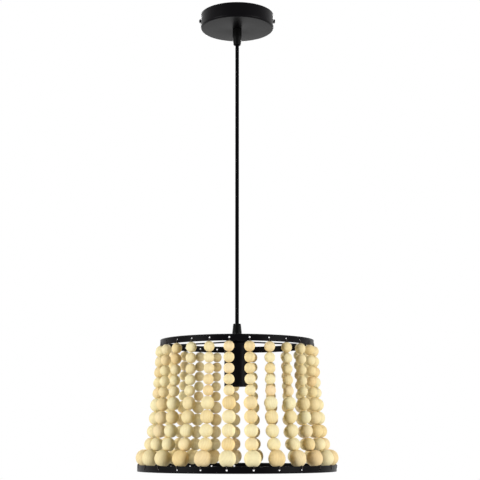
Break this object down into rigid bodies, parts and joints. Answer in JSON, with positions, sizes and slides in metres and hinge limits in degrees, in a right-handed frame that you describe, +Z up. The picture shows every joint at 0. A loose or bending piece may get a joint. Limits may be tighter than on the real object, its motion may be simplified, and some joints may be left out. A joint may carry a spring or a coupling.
{
  "type": "beaded pendant light",
  "caption": "Pendant light with a bell-shaped shade of wooden bead strands between two black steel hoops, hung on a cord.",
  "frame": {"origin": "the middle of the ceiling bracket's top face, where the light meets the ceiling", "axes": "+Z up to the ceiling, -Y the front, the side screws lie along X"},
  "size_m": [0.3145, 0.3146, 0.7394],
  "materials": {
    "black_steel": "satin black powder coat",
    "zinc_steel": "bright zinc plate",
    "black_plastic": "moulded nylon",
    "cord_sheath": "extruded PVC sheath",
    "porcelain": "glazed",
    "brass": "rolled",
    "brown_core": "extruded PVC",
    "blue_core": "extruded PVC",
    "green_core": "extruded PVC",
    "light_wood": "unvarnished, sanded"
  },
  "bodies": {
    "ceiling": {"canopy_cover": "black_steel", "ceiling_bracket": "zinc_steel", "earth_screw": "zinc_steel", "canopy_grip": "black_plastic", "canopy_grip_screw": "black_plastic", "canopy_grip_nut": "zinc_steel", "canopy_cord_end": "cord_sheath", "canopy_live_lead": "brown_core", "canopy_neutral_lead": "blue_core", "canopy_earth_lead": "green_core"},
    "left_screw": {"canopy_screw_left": "black_steel"},
    "right_screw": {"canopy_screw_right": "black_steel"},
    "cord": {"pendant_cord": "cord_sheath"},
    "socket": {"cup_grip": "black_plastic", "cup_grip_screw": "black_plastic", "cup_grip_nut": "zinc_steel", "cup_cord_end": "cord_sheath", "lamp_cup": "black_steel", "stirrup": "zinc_steel", "stirrup_screw_left": "zinc_steel", "stirrup_screw_right": "zinc_steel", "lampholder": "porcelain", "lamp_shell": "brass", "centre_contact": "brass", "live_terminal": "brass", "neutral_terminal": "brass", "cup_live_lead": "brown_core", "cup_neutral_lead": "blue_core", "cup_earth_lead": "green_core"},
    "shade": {"top_frame": "black_steel", "bottom_hoop": "black_steel", "bead_strand_01": "light_wood", "bead_strand_02": "light_wood", "bead_strand_03": "light_wood", "bead_strand_04": "light_wood", "bead_strand_05": "light_wood", "bead_strand_06": "light_wood", "bead_strand_07": "light_wood", "bead_strand_08": "light_wood", "bead_strand_09": "light_wood", "bead_strand_10": "light_wood", "bead_strand_11": "light_wood", "bead_strand_12": "light_wood", "bead_strand_13": "light_wood", "bead_strand_14": "light_wood", "bead_strand_15": "light_wood", "bead_strand_16": "light_wood", "bead_strand_17": "light_wood", "bead_strand_18": "light_wood", "bead_strand_19": "light_wood", "bead_strand_20": "light_wood", "bead_strand_21": "light_wood", "bead_strand_22": "light_wood", "bead_strand_23": "light_wood", "bead_strand_24": "light_wood", "bead_strand_25": "light_wood"}
  },
  "joints": [
    {"name": "cord_swing", "type": "hinge", "parent": "ceiling", "child": "cord", "pos_m": [0, 0, -0.0489], "axis": [0, 1, 0], "range_deg": [-20, 20]},
    {"name": "shade_tilt", "type": "hinge", "parent": "cord", "child": "socket", "pos_m": [0, 0, -0.5137], "axis": [1, 0, 0], "range_deg": [-15, 15]},
    {"name": "shade_turn", "type": "hinge", "parent": "socket", "child": "shade", "pos_m": [0, 0, -0.5396], "axis": [0, 0, 1], "continuous": true},
    {"name": "left_screw_out", "type": "slide", "parent": "ceiling", "child": "left_screw", "axis": [-1, 0, 0], "range_m": [0, 0.0046]},
    {"name": "right_screw_out", "type": "slide", "parent": "ceiling", "child": "right_screw", "axis": [1, 0, 0], "range_m": [0, 0.0046]}
  ]
}
